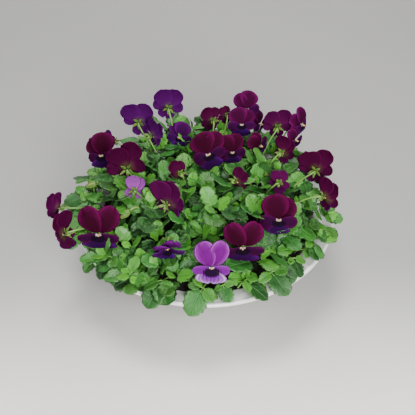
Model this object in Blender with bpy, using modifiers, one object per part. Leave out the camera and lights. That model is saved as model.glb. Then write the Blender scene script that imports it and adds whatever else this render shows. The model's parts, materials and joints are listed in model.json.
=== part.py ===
"""Potted viola planter: a shallow glazed bowl of potting soil, planted with seven violas in flower.

Frame: metres, +Z up. The origin is the middle of the foot's flat underside, and -Y is the bowl's front.
Every height below is above that underside. Leaves of each plant are one solid mound; every bloom is
picked with its own stem, so the two are one piece; the leaves that hang over the rim are pieces too.
"""
import math

import bmesh
import bpy
from mathutils import Matrix, Vector

# Bowl
RIM_RADIUS = 0.130
RIM_HEIGHT = 0.075
RIM_BAND = 0.020          # width of the sloping rim around the soil
RIM_RISE = 0.0045         # how far the rim rises from the soil to the lip
LIP = 0.0042              # thickness of the round lip
WALL = 0.0045
FOOT_RADIUS = 0.052
FOOT_HEIGHT = 0.005
WALL_SWELL = 0.75         # 1 would be a straight cone from foot to rim, and less swells outward
WALL_STEPS = 6
TURN_STEPS = 40

# Soil and the mound of leaves
GAP = 0.0004              # air between solids that touch
SOIL_TOP = RIM_HEIGHT - 0.0075
MOUND_CENTRE = Vector((-0.003, 0.006, 0.0))
MOUND_RADIUS = 0.115
MOUND_CROWN = 0.036       # height of the leaves' crown above the mound's edge
MOUND_EDGE = RIM_HEIGHT + 0.003
MOUND_PLUG = 0.094        # radius of the part of the mound that stands inside the rim
CENTRE_PLANT = 0.050      # corner radius of the hexagon that the middle plant fills
OUTER_PLANTS = 6

# Places on the planter are given by a bearing round the bowl's axis (degrees: 0 is the right, 90 the
# back, 270 the front), a reach from that axis (mm) and a rise above the leaves (mm).

# Blooms, from the back left round by the back, right and front to the left, with the middle's last:
# bearing, reach and rise of the face's middle, its compass direction, upward tilt and roll (degrees),
# its width (mm) and its petal colour
BLOOMS = [
    (115, 88, 44, 95, -18, 10, 30, "violet"),
    (134, 98, 38, 82, -22, -8, 31, "violet"),
    (133, 74, 20, 35, -30, 0, 26, "violet"),
    (116, 60, 15, 272, 28, -5, 24, "violet"),
    (85, 73, 24, 110, -35, 0, 22, "burgundy"),
    (60, 75, 27, 272, 28, 0, 27, "plum"),
    (62, 92, 42, 278, 20, 0, 27, "plum"),
    (76, 88, 26, 110, -40, 0, 16, "burgundy"),
    (40, 96, 40, 92, -20, 0, 27, "plum"),
    (34, 119, 56, 325, 10, 0, 26, "plum"),
    (28, 104, 37, 310, 10, 0, 19, "plum"),
    (21, 84, 22, 60, -35, 0, 24, "burgundy"),
    (3, 109, 46, 75, -16, 0, 33, "burgundy"),
    (347, 119, 39, 35, -35, 0, 28, "burgundy"),
    (350, 73, 16, 80, -40, 0, 20, "plum"),
    (317, 93, 30, 268, 28, 0, 35, "burgundy"),
    (290, 100, 31, 267, 4, 0, 37, "burgundy"),
    (273, 118, 39, 270, 28, 0, 33, "lilac"),
    (250, 98, 23, 270, -24, 0, 29, "violet"),
    (215, 120, 33, 264, 9, 0, 39, "burgundy"),
    (206, 148, 27, 170, -35, 30, 31, "burgundy"),
    (195, 145, 35, 150, -20, 0, 24, "plum"),
    (165, 108, 35, 262, 26, 12, 32, "burgundy"),
    (152, 109, 33, 150, -20, 0, 20, "violet"),
    (179, 76, 27, 88, -18, -8, 37, "burgundy"),
    (200, 71, 14, 85, -40, 0, 22, "lilac"),
    (236, 59, 21, 50, -25, -20, 33, "plum"),
    (187, 26, 12, 120, -40, 0, 19, "burgundy"),
    (335, 35, 12, 45, -45, 0, 19, "burgundy"),
    (78, 10, 27, 264, 28, 22, 34, "burgundy"),
    (43, 37, 17, 276, 26, 0, 27, "burgundy"),
    (35, 66, 17, 310, 15, 35, 21, "burgundy"),
    (57, 106, 27, 330, 10, 0, 23, "plum"),
]
FACE_THICKNESS = 0.0016
FACE_POINTS = 25
FACE_TALLER = 1.15        # a face is this much taller than it is wide
LOBE_DEPTH = 0.14         # how far the gaps between petals cut in, as a share of the face's radius
STEM_RADIUS = 0.0009
STEM_LEAN = 0.84          # the foot's distance from the mound's middle, as a share of the face's
STEM_REACH = 0.092        # no foot stands further than this from the mound's middle
STEM_HOOK = 0.014         # the stem comes to the back of the face straight over this distance
STEM_POINTS = 6

# Closed buds: bearing, reach and rise of the middle, compass direction and upward tilt of the tip
BUDS = [(211, 88, 9, 200, -40), (5, 60, 10, 20, -20), (180, 112, 24, 170, -25)]
BUD_LENGTH = 0.012
BUD_RADIUS = 0.0032

# Leaves that hang over the rim: bearing of the base, bearing and reach of the tip, the tip's height
# above the rim, and the leaf's width (mm)
RIM_LEAVES = [
    (168, 165, 138, 18, 22),
    (181, 181, 138, 16, 22),
    (222, 225, 143, 4, 21),
    (238, 234, 140, 2, 20),
    (250, 249, 145, 0, 24),
    (268, 265, 146, -1, 24),
    (279, 279, 136, 3, 15),
    (290, 293, 141, 1, 23),
    (302, 303, 144, -1, 22),
    (314, 314, 137, 3, 15),
    (325, 327, 139, 4, 21),
    (338, 336, 131, 8, 21),
]
LEAF_THICKNESS = 0.0008
LEAF_BASE_LIFT = 0.010    # a rim leaf starts this far above the rim, at the mound's edge
LEAF_CLEAR = 0.0015       # and this far outside the mound

COLOURS = {
    "glaze": ((0.82, 0.82, 0.79), 0.25),
    "soil": ((0.035, 0.026, 0.018), 0.95),
    "leaf": ((0.10, 0.27, 0.05), 0.55),
    "bud": ((0.33, 0.45, 0.10), 0.5),
    "burgundy": ((0.13, 0.004, 0.045), 0.7),
    "plum": ((0.20, 0.012, 0.16), 0.7),
    "violet": ((0.085, 0.014, 0.19), 0.7),
    "lilac": ((0.50, 0.20, 0.58), 0.7),
}


def clear_scene():
    for thing in list(bpy.data.objects):
        bpy.data.objects.remove(thing, do_unlink=True)


def new_collection(name):
    collection = bpy.data.collections.new(name)
    bpy.context.scene.collection.children.link(collection)
    return collection


def material(piece, name, kind):
    colour, roughness = COLOURS[kind]
    finish = bpy.data.materials.new(name)
    finish.use_nodes = True
    shader = finish.node_tree.nodes["Principled BSDF"]
    shader.inputs["Base Color"].default_value = (*colour, 1.0)
    shader.inputs["Roughness"].default_value = roughness
    shader.inputs["Metallic"].default_value = 0.0
    finish.diffuse_color = (*colour, 1.0)
    piece.data.materials.clear()
    piece.data.materials.append(finish)


def mesh_piece(name, mesh, collection, place=Matrix.Identity(4)):
    piece = bpy.data.objects.new(name, mesh)
    piece.matrix_world = place
    collection.objects.link(piece)
    return piece


def turned(name, profile, collection, centre=Vector((0.0, 0.0, 0.0))):
    """A profile of (radius, height) points, from the top down the outer side, turned about +Z."""
    mesh = bpy.data.meshes.new(name)
    edges = [(i, i + 1) for i in range(len(profile) - 1)]
    mesh.from_pydata([(radius, 0.0, height) for radius, height in profile], edges, [])
    piece = mesh_piece(name, mesh, collection, Matrix.Translation(centre))
    screw = piece.modifiers.new("Turn", "SCREW")
    screw.steps = screw.render_steps = TURN_STEPS
    screw.use_merge_vertices = True
    screw.merge_threshold = 0.00005
    screw.use_smooth_shade = True
    return piece


def curve_mesh(curve, place=Matrix.Identity(4)):
    """The closed mesh of a curve, with its caps welded on, in world space."""
    guide = bpy.data.objects.new("guide", curve)
    bpy.context.scene.collection.objects.link(guide)
    bpy.context.view_layer.update()
    evaluated = guide.evaluated_get(bpy.context.evaluated_depsgraph_get())
    mesh = bpy.data.meshes.new_from_object(evaluated)
    bpy.data.objects.remove(guide, do_unlink=True)
    shape = bmesh.new()
    shape.from_mesh(mesh)
    bmesh.ops.remove_doubles(shape, verts=shape.verts, dist=0.00002)
    bmesh.ops.recalc_face_normals(shape, faces=shape.faces)
    shape.to_mesh(mesh)
    shape.free()
    mesh.transform(place)
    return mesh


def flat_plate(points, thickness, place):
    """A closed plate cut to a 2D outline, its middle plane on the local XY plane."""
    curve = bpy.data.curves.new("outline", "CURVE")
    curve.dimensions = "2D"
    curve.fill_mode = "BOTH"
    curve.extrude = thickness / 2
    spline = curve.splines.new("POLY")
    spline.points.add(len(points) - 1)
    for point, (x, y) in zip(spline.points, points):
        point.co = (x, y, 0.0, 1.0)
    spline.use_cyclic_u = True
    return curve_mesh(curve, place)


def tube(points, radius):
    curve = bpy.data.curves.new("tube", "CURVE")
    curve.dimensions = "3D"
    curve.bevel_depth = radius
    curve.bevel_resolution = 1
    curve.use_fill_caps = True
    spline = curve.splines.new("POLY")
    spline.points.add(len(points) - 1)
    for point, place in zip(spline.points, points):
        point.co = (*place, 1.0)
    return curve_mesh(curve)


def boolean(piece, operation, cutter):
    cut = piece.modifiers.new(operation.title(), "BOOLEAN")
    cut.operation = operation
    cut.object = cutter
    cut.solver = "EXACT"


def helper(name, mesh, collection):
    piece = mesh_piece(name, mesh, collection)
    piece.hide_render = True
    piece.display_type = "WIRE"
    return piece


def bezier(start, first, second, end, steps):
    curve = []
    for step in range(steps + 1):
        t = step / steps
        weights = ((1 - t) ** 3, 3 * t * (1 - t) ** 2, 3 * t * t * (1 - t), t ** 3)
        curve.append(sum((w * p for w, p in zip(weights, (start, first, second, end))), Vector()))
    return curve


def direction(compass, tilt):
    across = math.cos(math.radians(tilt))
    turn = math.radians(compass)
    return Vector((across * math.cos(turn), across * math.sin(turn), math.sin(math.radians(tilt))))


def face_frame(centre, facing, roll):
    """Local +Z looks out of the face, and local +Y points to its upper petals."""
    side = Vector((0, 0, 1)).cross(facing).normalized()
    upward = facing.cross(side)
    frame = Matrix((side, upward, facing)).transposed().to_4x4()
    return Matrix.Translation(centre) @ frame @ Matrix.Rotation(math.radians(roll), 4, "Z")


def mound_height(x, y):
    """Top of the leaves at a place in plan."""
    share = math.hypot(x - MOUND_CENTRE.x, y - MOUND_CENTRE.y) / MOUND_RADIUS
    return MOUND_EDGE + MOUND_CROWN * max(0.0, 1 - share ** 4)


def round_the_bowl(bearing, reach):
    turn = math.radians(bearing)
    return Vector((reach / 1000 * math.cos(turn), reach / 1000 * math.sin(turn), 0.0))


def above_leaves(bearing, reach, rise):
    place = round_the_bowl(bearing, reach)
    place.z = mound_height(place.x, place.y) + rise / 1000
    return place


def stem_foot(x, y):
    """A stem stands on the leaves, nearer to the mound's middle than its flower is."""
    away = Vector((x, y, 0)) - MOUND_CENTRE
    away.z = 0
    reach = min(away.length * STEM_LEAN, STEM_REACH)
    foot = MOUND_CENTRE + away.normalized() * reach
    foot.z = mound_height(foot.x, foot.y) + GAP
    return foot


def inner_wall(step):
    """A point (radius, height) on the bowl's inside, from its floor at 0 to the rim at WALL_STEPS."""
    share = step / WALL_STEPS
    floor = FOOT_HEIGHT + WALL
    return (FOOT_RADIUS + (RIM_RADIUS - RIM_BAND - FOOT_RADIUS) * share ** WALL_SWELL,
            floor + (RIM_HEIGHT - RIM_RISE - floor) * share)


def make_bowl(collection):
    """A shallow turned bowl: flat foot, swelling wall, and a broad rim that rises to a round lip."""
    inside = [inner_wall(step) for step in range(WALL_STEPS + 1)]
    profile = [(0.0, FOOT_HEIGHT + WALL), *inside]
    for out, down in ((-0.95, 0.2), (-0.5, 0.0), (-0.1, 0.2), (0.0, 0.6), (-0.25, 1.0), (-0.95, 1.25)):
        profile.append((RIM_RADIUS + LIP * out, RIM_HEIGHT - LIP * down))
    for radius, height in reversed(inside[2:]):
        profile.append((radius + WALL * 0.75, height - WALL * 1.05))
    profile += [(FOOT_RADIUS + 0.004, FOOT_HEIGHT), (FOOT_RADIUS + 0.001, FOOT_HEIGHT * 0.5),
                (FOOT_RADIUS + 0.001, 0.001), (FOOT_RADIUS, 0.0), (0.0, 0.0)]
    bowl = turned("bowl", profile, collection)
    material(bowl, "glaze", "glaze")


def make_soil(collection):
    """Potting soil fills the bowl to just under the rim, held a hair clear of the glaze."""
    band_inner = RIM_RADIUS - RIM_BAND
    floor = FOOT_HEIGHT + WALL + GAP
    profile = [(0.0, SOIL_TOP), (band_inner - 0.006, SOIL_TOP), (band_inner - 0.0045, SOIL_TOP - 0.0015)]
    for step in range(WALL_STEPS - 1, 0, -1):
        radius, height = inner_wall(step)
        profile.append((radius - 0.0012, height + GAP))
    profile += [(FOOT_RADIUS - 0.001, floor), (0.0, floor)]
    soil = turned("potting_soil", profile, collection)
    material(soil, "soil", "soil")


def mound_profile():
    profile = []
    for share in (0.0, 0.25, 0.45, 0.62, 0.76, 0.87, 0.95, 1.0):
        profile.append((MOUND_RADIUS * share, MOUND_EDGE + MOUND_CROWN * (1 - share ** 4)))
    profile += [(MOUND_RADIUS - 0.001, RIM_HEIGHT + 0.0012), (MOUND_PLUG, RIM_HEIGHT + 0.0012),
                (MOUND_PLUG - 0.002, SOIL_TOP + GAP), (0.0, SOIL_TOP + GAP)]
    return profile


def prism(name, corners, low, high, collection):
    shape = bmesh.new()
    base = shape.faces.new([shape.verts.new((x, y, low)) for x, y in corners])
    walls = bmesh.ops.extrude_face_region(shape, geom=[base])
    raised = [part for part in walls["geom"] if isinstance(part, bmesh.types.BMVert)]
    bmesh.ops.translate(shape, verts=raised, vec=(0, 0, high - low))
    bmesh.ops.recalc_face_normals(shape, faces=shape.faces)
    mesh = bpy.data.meshes.new(name)
    shape.to_mesh(mesh)
    shape.free()
    return helper(name, mesh, collection)


def make_plants(collection, cutters):
    """One plant in the middle and six around it; their leaves knit into one mound."""
    def corner(radius, number):
        turn = 2 * math.pi * number / OUTER_PLANTS
        return (MOUND_CENTRE.x + radius * math.cos(turn), MOUND_CENTRE.y + radius * math.sin(turn))

    hexagon = [corner(CENTRE_PLANT, number) for number in range(OUTER_PLANTS)]
    cells = [hexagon]
    for number in range(OUTER_PLANTS):
        middle = 2 * math.pi * (number + 0.5) / OUTER_PLANTS
        shift = 3 * GAP
        sector = [corner(CENTRE_PLANT, number), corner(2 * MOUND_RADIUS, number),
                  corner(2 * MOUND_RADIUS, number + 1), corner(CENTRE_PLANT, number + 1)]
        cells.append([(x + shift * math.cos(middle), y + shift * math.sin(middle)) for x, y in sector])
    for number, corners in enumerate(cells, 1):
        name = f"plant_{number}"
        cutter = prism(f"{name}_cell", corners, 0.0, 2 * RIM_HEIGHT, cutters)
        plant = turned(name, mound_profile(), collection, MOUND_CENTRE)
        boolean(plant, "INTERSECT", cutter)
        material(plant, f"{name}_leaf", "leaf")


def bloom_outline(width):
    """Five rounded petals around the face: two above, one to each side and the lip below."""
    points = []
    for step in range(FACE_POINTS):
        turn = 2 * math.pi * step / FACE_POINTS
        reach = width / 2 * (1 - LOBE_DEPTH + LOBE_DEPTH * math.cos(5 * (turn + math.pi / 2)))
        points.append((reach * math.cos(turn), FACE_TALLER * reach * math.sin(turn)))
    return points


def make_blooms(collection, cutters):
    """Each bloom's stem leaves the mound upright and hooks over to hold the face by its back."""
    for number, (bearing, reach, rise, compass, tilt, roll, width, colour) in enumerate(BLOOMS, 1):
        name = f"bloom_{number:02d}"
        centre = above_leaves(bearing, reach, rise)
        facing = direction(compass, tilt)
        face = flat_plate(bloom_outline(width / 1000), FACE_THICKNESS, face_frame(centre, facing, roll))
        foot = stem_foot(centre.x, centre.y)
        upright = Vector((0, 0, 0.6 * (centre.z - foot.z)))
        path = bezier(foot, foot + upright, centre - facing * STEM_HOOK, centre, STEM_POINTS)
        bloom = mesh_piece(name, face, collection)
        boolean(bloom, "UNION", helper(f"{name}_stem", tube(path, STEM_RADIUS), cutters))
        material(bloom, f"{name}_petal", colour)


def make_buds(collection, cutters):
    """A bud is a pointed oval of closed sepals on a hooked stem."""
    for number, (bearing, reach, rise, compass, tilt) in enumerate(BUDS, 1):
        name = f"bud_{number}"
        centre = above_leaves(bearing, reach, rise)
        facing = direction(compass, tilt)
        shape = bmesh.new()
        bmesh.ops.create_uvsphere(shape, u_segments=10, v_segments=6, radius=BUD_RADIUS)
        stretch = Matrix.Diagonal((1, 1, BUD_LENGTH / (2 * BUD_RADIUS), 1))
        shape.transform(face_frame(centre, facing, 0) @ stretch)
        mesh = bpy.data.meshes.new(name)
        shape.to_mesh(mesh)
        shape.free()
        mesh.shade_smooth()
        foot = stem_foot(centre.x, centre.y)
        upright = Vector((0, 0, 0.8 * (centre.z - foot.z)))
        path = bezier(foot, foot + upright, centre - facing * BUD_LENGTH, centre, STEM_POINTS)
        bud = mesh_piece(name, mesh, collection)
        boolean(bud, "UNION", helper(f"{name}_stem", tube(path, STEM_RADIUS), cutters))
        material(bud, f"{name}_sepal", "bud")


def leaf_outline(length, width, points=18):
    """An oval blade from its base at the origin to its tip at +Y, broadest before the middle."""
    outline = []
    for step in range(points):
        turn = 2 * math.pi * step / points
        along = (1 - math.cos(turn)) / 2
        across = width / 2 * math.sin(turn) * (1.12 - 0.24 * along)
        outline.append((across, length * along))
    return outline


def make_rim_leaves(collection):
    """Leaves that start at the mound's edge and lie out over the rim, clear of the lip."""
    for number, (base_bearing, tip_bearing, tip_reach, tip_lift, width) in enumerate(RIM_LEAVES, 1):
        outward = round_the_bowl(base_bearing, 1000)
        along = MOUND_CENTRE.dot(outward)
        clear = MOUND_RADIUS + LEAF_CLEAR
        edge = along + math.sqrt(clear ** 2 - (MOUND_CENTRE.length_squared - along ** 2))
        base = outward * edge + Vector((0, 0, RIM_HEIGHT + LEAF_BASE_LIFT))
        tip = round_the_bowl(tip_bearing, tip_reach) + Vector((0, 0, RIM_HEIGHT + tip_lift / 1000))
        blade = (tip - base).normalized()
        side = blade.cross(Vector((0, 0, 1))).normalized()
        place = Matrix((side, blade, side.cross(blade))).transposed().to_4x4()
        outline = leaf_outline((tip - base).length, width / 1000)
        mesh = flat_plate(outline, LEAF_THICKNESS, Matrix.Translation(base) @ place)
        leaf = mesh_piece(f"rim_leaf_{number:02d}", mesh, collection)
        material(leaf, f"rim_leaf_{number:02d}", "leaf")


clear_scene()
planter = new_collection("potted_viola_planter")
helpers = new_collection("helpers")
make_bowl(planter)
make_soil(planter)
make_plants(planter, helpers)
make_blooms(planter, helpers)
make_buds(planter, helpers)
make_rim_leaves(planter)
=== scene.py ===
import json
import math
import random

import bpy
from mathutils import Euler, Matrix, Vector, noise

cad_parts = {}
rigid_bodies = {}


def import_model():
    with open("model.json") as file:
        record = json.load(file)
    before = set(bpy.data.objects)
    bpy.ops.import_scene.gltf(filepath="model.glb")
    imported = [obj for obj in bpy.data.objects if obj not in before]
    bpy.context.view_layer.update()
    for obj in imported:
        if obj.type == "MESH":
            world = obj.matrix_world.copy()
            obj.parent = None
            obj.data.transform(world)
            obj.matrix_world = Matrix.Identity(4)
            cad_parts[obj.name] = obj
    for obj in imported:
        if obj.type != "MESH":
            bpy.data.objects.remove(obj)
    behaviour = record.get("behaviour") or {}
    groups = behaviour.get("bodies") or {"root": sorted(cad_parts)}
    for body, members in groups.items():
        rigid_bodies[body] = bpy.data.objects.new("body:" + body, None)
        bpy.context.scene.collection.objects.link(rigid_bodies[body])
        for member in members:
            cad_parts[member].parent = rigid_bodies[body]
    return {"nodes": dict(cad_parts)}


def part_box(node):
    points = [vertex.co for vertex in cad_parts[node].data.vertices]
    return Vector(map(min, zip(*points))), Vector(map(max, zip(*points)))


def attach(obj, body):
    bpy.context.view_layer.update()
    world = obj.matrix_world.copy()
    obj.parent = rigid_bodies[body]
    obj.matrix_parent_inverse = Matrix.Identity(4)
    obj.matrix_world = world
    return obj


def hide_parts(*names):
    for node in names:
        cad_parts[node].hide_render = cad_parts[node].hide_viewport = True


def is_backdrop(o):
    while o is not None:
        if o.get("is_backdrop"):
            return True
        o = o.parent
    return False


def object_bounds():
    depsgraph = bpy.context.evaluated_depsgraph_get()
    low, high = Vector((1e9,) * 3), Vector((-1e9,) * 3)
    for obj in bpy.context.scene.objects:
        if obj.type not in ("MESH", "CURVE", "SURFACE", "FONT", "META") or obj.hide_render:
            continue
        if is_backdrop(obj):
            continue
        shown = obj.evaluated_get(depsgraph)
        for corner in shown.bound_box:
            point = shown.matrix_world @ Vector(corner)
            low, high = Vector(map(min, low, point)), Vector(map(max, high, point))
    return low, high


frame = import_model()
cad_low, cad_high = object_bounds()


# ---------------- the surface it stands on
# A broad, smooth sheet of grey board, made paler towards the front by painted light. The planter only rests
# on it.

class Value:
    """A number that changes over a surface. Each operator adds the Math node that works it out."""

    def __init__(self, tree, socket):
        self.tree = tree
        self.socket = socket

    def math(self, operation, *others, first=None):
        node = self.tree.nodes.new("ShaderNodeMath")
        node.operation = operation
        operands = (self, *others) if first is None else (first, self)
        for slot, operand in zip(node.inputs, operands):
            if isinstance(operand, Value):
                self.tree.links.new(operand.socket, slot)
            else:
                slot.default_value = operand
        return Value(self.tree, node.outputs[0])

    def __add__(self, other):
        return self.math("ADD", other)

    def __sub__(self, other):
        return self.math("SUBTRACT", other)

    def __mul__(self, other):
        return self.math("MULTIPLY", other)

    def __truediv__(self, other):
        return self.math("DIVIDE", other)

    def __pow__(self, other):
        return self.math("POWER", other)

    def __rsub__(self, other):
        return self.math("SUBTRACT", first=other)

    __radd__ = __add__
    __rmul__ = __mul__

    def step(self, low, high):
        """0 below low, 1 above high, and smooth between them."""
        node = self.tree.nodes.new("ShaderNodeMapRange")
        node.interpolation_type = "SMOOTHSTEP"
        self.tree.links.new(self.socket, node.inputs["Value"])
        node.inputs["From Min"].default_value = low
        node.inputs["From Max"].default_value = high
        return Value(self.tree, node.outputs["Result"])


class Graph:
    """A node tree being built: one call adds a node, sets it, and feeds its sockets."""

    def __init__(self, tree):
        self.tree = tree

    def add(self, kind, settings=None, inputs=None):
        node = self.tree.nodes.new(kind)
        for name, setting in (settings or {}).items():
            setattr(node, name, setting)
        for name, source in (inputs or {}).items():
            self.feed(node.inputs[name], source)
        return node

    def random_value(self, kind, low, high, seed):
        """A random value on each point. Every kind has its own limits and its own output."""
        first, output = {"FLOAT_VECTOR": (0, 0), "FLOAT": (2, 1), "INT": (4, 2)}[kind]
        node = self.add("FunctionNodeRandomValue", {"data_type": kind}, {
            first: low, first + 1: high, "Seed": seed})
        return node.outputs[output]

    def feed(self, socket, source):
        if isinstance(source, Value):
            source = source.socket
        if isinstance(source, bpy.types.NodeSocket):
            self.tree.links.new(source, socket)
        else:
            socket.default_value = source


class Finish(Graph):
    """A material round one Principled shader, whose unchanging values are set on its own sockets."""

    def __init__(self, name, **constants):
        self.material = bpy.data.materials.new(name)
        self.material.use_nodes = True
        super().__init__(self.material.node_tree)
        self.shader = self.tree.nodes["Principled BSDF"]
        for socket, constant in constants.items():
            self.shader.inputs[socket.replace("_", " ")].default_value = constant

    def coordinates(self):
        return self.add("ShaderNodeTexCoord").outputs["Object"]

    def parts(self, vector):
        """The three numbers of a vector or attribute."""
        split = self.add("ShaderNodeSeparateXYZ", inputs={"Vector": vector})
        return [Value(self.tree, output) for output in split.outputs]

    def marks(self, name):
        return self.parts(self.add("ShaderNodeAttribute", {"attribute_name": name}).outputs["Vector"])

    def grain(self, vector, scale, detail=3.0, roughness=0.5):
        """Fine cloudy variation round 0.5."""
        node = self.add("ShaderNodeTexNoise", inputs={
            "Vector": vector, "Scale": scale, "Detail": detail, "Roughness": roughness})
        return Value(self.tree, node.outputs["Fac"])

    def mix(self, below, above, share):
        """One colour over another, by share."""
        node = self.add("ShaderNodeMix", {"data_type": "RGBA"})
        for slot, source in ((node.inputs[0], share), (node.inputs[6], below), (node.inputs[7], above)):
            if isinstance(source, tuple):
                source = (*source, 1.0)
            self.feed(slot, source)
        return node.outputs[2]

    def colour(self, source):
        self.feed(self.shader.inputs["Base Color"], source)

    def roughness(self, source):
        self.feed(self.shader.inputs["Roughness"], source)

    def relief(self, height, distance):
        node = self.add("ShaderNodeBump", inputs={"Height": height, "Distance": distance, "Strength": 1.0})
        self.feed(self.shader.inputs["Normal"], node.outputs["Normal"])


def board_finish():
    board = Finish("pale_board", Specular_IOR_Level=0.25)
    place = board.coordinates()
    forward = board.parts(place)[1]
    cloud = board.grain(place, 3.0, 2.0)
    # Painted light: the board's colour turns paler towards the front, as if lit more strongly there
    painted_front_light = 1 - forward.step(-0.24, 0.02)
    grey = board.mix((0.355, 0.352, 0.34), (0.41, 0.405, 0.39), cloud)
    board.colour(board.mix(grey, (0.88, 0.855, 0.81), painted_front_light))
    board.roughness(0.55 + 0.2 * cloud)
    return board.material


board_size = 6.0
bpy.ops.mesh.primitive_plane_add(size=board_size, location=(0, 0, cad_low.z))
board = bpy.context.object
board.name = "board"
board.data.transform(board.matrix_world)
board.matrix_world = Matrix.Identity(4)
board.data.materials.append(board_finish())
board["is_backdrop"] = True


# ---------------- the bowl
# One shallow bowl thrown in white clay: a flat foot, a swelling wall, and a broad rim that slopes up
# to a round lip. It is dipped in a milky gloss glaze, and the foot is wiped clean.

bowl_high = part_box("bowl")[1]
rim_radius = bowl_high.x
rim_height = bowl_high.z
rim_band = 0.020
rim_fall = 0.0045         # from the lip down to the inner edge of the rim band
lip_radius = 0.0021
wall = 0.0045
wall_swell = 0.75         # 1 would be a straight cone from foot to rim, and less swells outward
foot_radius = 0.052
foot_height = 0.005
turn_steps = 160
wall_steps = 24
lip_steps = 12


def linked(name, data):
    """A new object in the scene."""
    made = bpy.data.objects.new(name, data)
    bpy.context.scene.collection.objects.link(made)
    return made


class Shape:
    """Points and faces of one piece, gathered part by part, with named marks on its points."""

    def __init__(self):
        self.points, self.faces, self.finishes = [], [], []
        self.marks = {}

    def add(self, points, faces, finish=0, **marks):
        start = len(self.points)
        self.points += [Vector(point) for point in points]
        self.faces += [[start + corner for corner in face] for face in faces]
        self.finishes += [finish] * len(faces)
        for name, values in marks.items():
            self.marks.setdefault(name, {}).update(enumerate(values, start))

    def mesh(self, name, finishes):
        mesh = bpy.data.meshes.new(name)
        mesh.from_pydata(self.points, [], self.faces)
        for finish in finishes:
            mesh.materials.append(finish)
        mesh.polygons.foreach_set("material_index", self.finishes)
        mesh.polygons.foreach_set("use_smooth", [True] * len(self.faces))
        for name, values in self.marks.items():
            attribute = mesh.attributes.new(name, "FLOAT_VECTOR", "POINT")
            flat = []
            for point in range(len(self.points)):
                flat += values.get(point, (0.0, 0.0, 0.0))
            attribute.data.foreach_set("vector", flat)
        mesh.update()
        return mesh

    def piece(self, name, *finishes):
        return linked(name, self.mesh(name, finishes))


def turned(profile, steps):
    """A closed shape: a profile of (radius, height) turned about +Z, its two ends on the axis."""
    points = [(0.0, 0.0, profile[0][1])]
    for radius, height in profile[1:-1]:
        for step in range(steps):
            turn = 2 * math.pi * step / steps
            points.append((radius * math.cos(turn), radius * math.sin(turn), height))
    points.append((0.0, 0.0, profile[-1][1]))
    faces = []
    for step in range(steps):
        beside = (step + 1) % steps
        faces.append((0, 1 + step, 1 + beside))
        for ring in range(len(profile) - 3):
            upper = 1 + ring * steps
            faces.append((upper + step, upper + steps + step, upper + steps + beside, upper + beside))
        last = 1 + (len(profile) - 3) * steps
        faces.append((len(points) - 1, last + beside, last + step))
    return points, faces


def bowl_profile():
    """From the middle of the inside, over the lip, down to the middle of the foot."""
    inner, low = rim_radius - rim_band, rim_height - rim_fall
    floor = foot_height + wall
    inside = [(foot_radius + (inner - foot_radius) * (step / wall_steps) ** wall_swell,
               floor + (low - floor) * step / wall_steps) for step in range(wall_steps + 1)]
    band = [(inner + (rim_radius - 0.004 - inner) * share, low + 0.0037 * share ** 1.1)
            for share in (0.04, 0.1, 0.25, 0.5, 0.75, 0.92, 1.0)]
    lip = []
    for step in range(1, lip_steps):
        turn = math.radians(115 - 205 * step / lip_steps)
        lip.append((rim_radius - lip_radius + lip_radius * math.cos(turn),
                    rim_height - lip_radius + lip_radius * math.sin(turn)))
    under = [(rim_radius - 0.005, rim_height - 0.0052), (rim_radius - 0.011, rim_height - 0.0064)]
    outside = [(radius + wall * 0.75, height - wall * 1.05) for radius, height in inside[:4:-1]]
    foot = [(foot_radius + 0.0046, foot_height + 0.0004), (foot_radius + 0.0022, foot_height - 0.001),
            (foot_radius + 0.0012, foot_height * 0.5), (foot_radius + 0.0010, 0.0009),
            (foot_radius + 0.0004, 0.0002), (foot_radius - 0.0006, 0.0), (foot_radius * 0.5, 0.0),
            (0.0, 0.0)]
    return [(0.0, floor), (foot_radius * 0.6, floor)] + inside + band + lip + under + outside + foot


def glaze_finish():
    glaze = Finish("milky_glaze", Coat_Roughness=0.08, IOR=1.5)
    place = glaze.coordinates()
    x, y, z = glaze.parts(place)
    radius = (x * x + y * y) ** 0.5
    cloud = glaze.grain(place, 28.0, 4.0)
    speck = glaze.grain(place, 620.0, 1.0)
    near_soil = 1 - radius.step(rim_radius - rim_band - 0.002, rim_radius - 0.004)
    milky = glaze.mix((0.74, 0.75, 0.73), (0.88, 0.88, 0.85), cloud.step(0.3, 0.62))
    # Soil dust and painted shade: the rim band darkens towards the soil, partly dust and partly standing in
    # for the plants' shadow
    dust_and_painted_shade = glaze.mix(milky, (0.34, 0.33, 0.28), near_soil * (0.15 + 0.75 * glaze.grain(place, 90.0)))
    specked = glaze.mix(dust_and_painted_shade, (0.36, 0.33, 0.27), speck.step(0.70, 0.78) * 0.45)
    clay = 1 - z.step(0.0006, 0.0016)
    glaze.colour(glaze.mix(specked, (0.52, 0.44, 0.34), clay))
    glaze.roughness(0.22 + 0.12 * cloud + 0.5 * clay + 0.25 * near_soil)
    glaze.feed(glaze.shader.inputs["Coat Weight"], (1 - clay) * 0.6)
    rings = (radius * 2600.0 + z * 1800.0).math("SINE")
    glaze.relief(rings * 0.35 + glaze.grain(place, 160.0) * 1.4, 0.00012)
    return glaze.material


bowl_shape = Shape()
bowl_shape.add(*turned(bowl_profile(), turn_steps))
bowl = bowl_shape.piece("bowl_glazed", glaze_finish())
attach(bowl, "root")
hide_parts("bowl")


# ---------------- the potting soil
# Dark, damp peat mix that fills the bowl to just under the rim. Its top is lumpy, with loose crumbs
# of one dark colour scattered over it.

soil_low, soil_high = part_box("potting_soil")
soil_radius = soil_high.x
crumb_count = 900


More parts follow.
